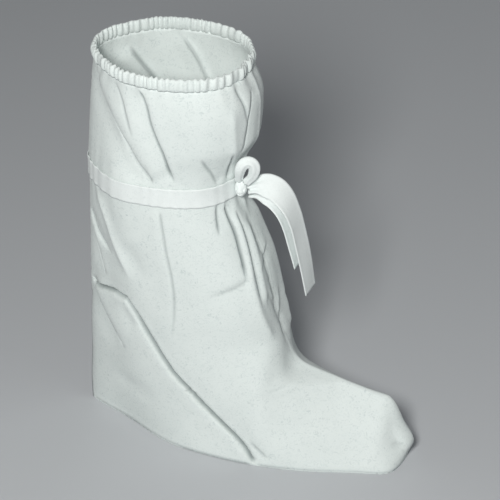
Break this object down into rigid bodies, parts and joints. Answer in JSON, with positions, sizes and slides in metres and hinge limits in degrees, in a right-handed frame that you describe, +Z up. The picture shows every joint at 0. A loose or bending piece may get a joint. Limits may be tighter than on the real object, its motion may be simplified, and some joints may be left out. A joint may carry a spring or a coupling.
{
  "type": "boot cover",
  "caption": "Tall white disposable boot cover of nonwoven cloth, with a flat sole panel, an elastic collar and a tie tape knotted round the lower calf.",
  "frame": {"origin": "on the floor, under the middle of the cover's length and width without its tie ends", "axes": "+X towards the toe, +Y towards the wearer's left as worn in the picture, +Z up"},
  "size_m": [0.343, 0.1297, 0.424],
  "materials": {
    "cloth": "matt white spun-bonded nonwoven with a faint fibre swirl",
    "sole_cloth": "matt white nonwoven, lightly coated for grip",
    "tape": "matt white folded nonwoven tape"
  },
  "bodies": {
    "root": {"upper": "cloth", "sole": "sole_cloth", "collar_casing": "cloth", "tie_band": "tape", "tie_knot": "tape", "tie_loop": "tape", "tie_tail_front": "tape", "tie_tail_rear": "tape"}
  },
  "joints": []
}
